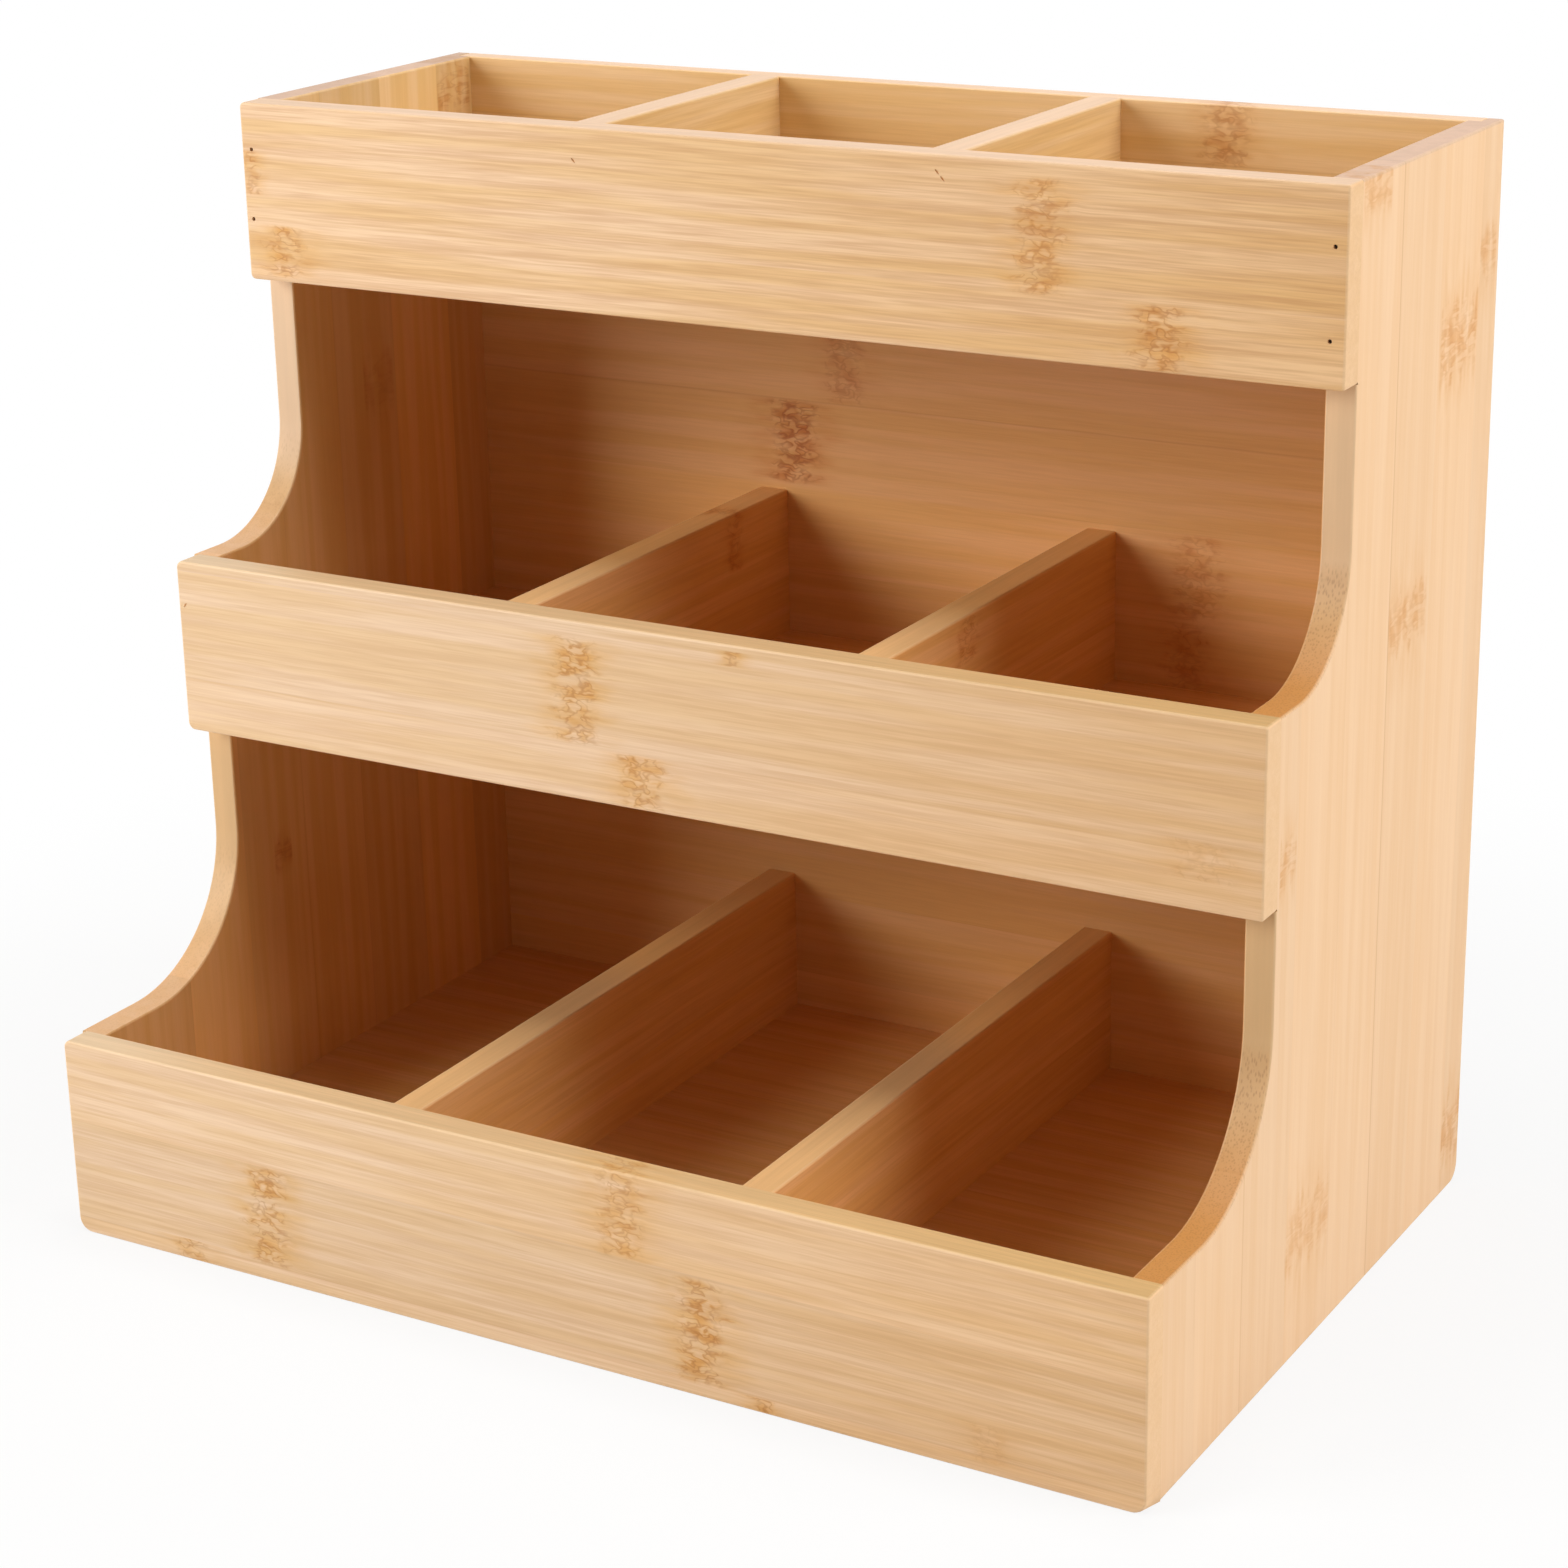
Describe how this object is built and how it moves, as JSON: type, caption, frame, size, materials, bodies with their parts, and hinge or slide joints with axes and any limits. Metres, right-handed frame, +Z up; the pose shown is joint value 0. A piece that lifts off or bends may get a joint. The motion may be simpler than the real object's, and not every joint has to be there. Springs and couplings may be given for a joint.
{
  "type": "tea bag organizer",
  "caption": "Stepped bamboo caddy with tiers of open compartments, front rails and scalloped side panels, for packets of tea, sweetener or other small sachets.",
  "frame": {"origin": "middle of the base, on the surface that the organizer stands on", "axes": "+X across the front to the right as seen from the front, +Y from the front to the back, +Z up"},
  "size_m": [0.32, 0.206, 0.293],
  "materials": {
    "side_bamboo": "planed bamboo with satin varnish, grain upright",
    "rail_bamboo": "planed bamboo with satin varnish, grain along the rail",
    "inner_bamboo": "planed bamboo with satin varnish, seen inside",
    "brad_steel": "dull steel wire"
  },
  "bodies": {
    "root": {"left_side_panel": "side_bamboo", "right_side_panel": "side_bamboo", "back_panel": "inner_bamboo", "lower_front_rail": "rail_bamboo", "lower_floor": "inner_bamboo", "lower_left_divider": "inner_bamboo", "lower_right_divider": "inner_bamboo", "lower_left_side_upper_brad": "brad_steel", "lower_left_side_lower_brad": "brad_steel", "lower_right_side_upper_brad": "brad_steel", "lower_right_side_lower_brad": "brad_steel", "lower_left_divider_brad": "brad_steel", "lower_right_divider_brad": "brad_steel", "middle_front_rail": "rail_bamboo", "middle_floor": "inner_bamboo", "middle_left_divider": "inner_bamboo", "middle_right_divider": "inner_bamboo", "middle_left_side_upper_brad": "brad_steel", "middle_left_side_lower_brad": "brad_steel", "middle_right_side_upper_brad": "brad_steel", "middle_right_side_lower_brad": "brad_steel", "middle_left_divider_brad": "brad_steel", "middle_right_divider_brad": "brad_steel", "top_front_rail": "rail_bamboo", "top_floor": "inner_bamboo", "top_left_divider": "inner_bamboo", "top_right_divider": "inner_bamboo", "top_left_side_upper_brad": "brad_steel", "top_left_side_lower_brad": "brad_steel", "top_right_side_upper_brad": "brad_steel", "top_right_side_lower_brad": "brad_steel", "top_left_divider_brad": "brad_steel", "top_right_divider_brad": "brad_steel"}
  },
  "joints": []
}
